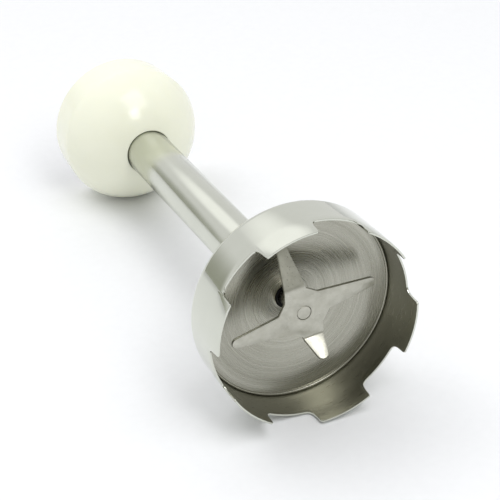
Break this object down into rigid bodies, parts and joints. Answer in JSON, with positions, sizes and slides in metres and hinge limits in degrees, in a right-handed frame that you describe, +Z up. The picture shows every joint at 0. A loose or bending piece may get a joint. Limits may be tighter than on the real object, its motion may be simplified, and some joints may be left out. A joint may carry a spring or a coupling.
{
  "type": "immersion blender blending shaft",
  "caption": "Detachable blending shaft of an immersion blender: notched steel bell with a spinning four-arm blade, steel tube and a rounded plastic coupling head, lying on its side.",
  "frame": {"origin": "on the floor, under the middle of the box round the lying foot; the floor is z = 0", "axes": "+Y along the foot, from the bell's open mouth towards the coupling head; the foot's own axis dips 3.3 degrees towards the head, because the bell and the head both rest on the floor; +Z up"},
  "size_m": [0.067, 0.1696, 0.0677],
  "materials": {
    "polished_steel": "mirror-polished stainless steel",
    "spun_steel": "stainless steel with fine turned rings",
    "blade_steel": "stamped and tumbled blade steel",
    "machined_steel": "turned steel",
    "bronze": "sintered bearing bronze, matt",
    "cream_plastic": "moulded, glossy, warm off-white",
    "grey_plastic": "moulded, satin",
    "white_plastic": "bearing plastic, satin",
    "black_plastic": "glass-filled plastic, satin",
    "black_rubber": "moulded rubber, matt"
  },
  "bodies": {
    "foot": {"bell_shell": "polished_steel", "bell_dish": "spun_steel", "shaft_tube": "polished_steel", "shaft_seal": "black_rubber", "bearing_housing": "grey_plastic", "lower_bush": "bronze", "bearing_carrier": "grey_plastic", "upper_bush": "bronze", "head_cover": "cream_plastic", "tube_flange": "spun_steel", "joint_seal": "black_rubber", "coupling_core": "grey_plastic", "head_screw_1": "machined_steel", "head_screw_2": "machined_steel", "head_screw_3": "machined_steel"},
    "rotor": {"drive_shaft": "machined_steel", "blade": "blade_steel", "blade_washer": "machined_steel", "lower_thrust_washer": "white_plastic", "lower_circlip": "machined_steel", "upper_thrust_washer": "white_plastic", "upper_circlip": "machined_steel", "drive_dog": "black_plastic", "dog_pin": "machined_steel"}
  },
  "joints": [
    {"name": "drive_spin", "type": "hinge", "parent": "foot", "child": "rotor", "pos_m": [0, -0.08279, 0.0343], "axis": [0, 0.9981, -0.0613], "continuous": true}
  ]
}
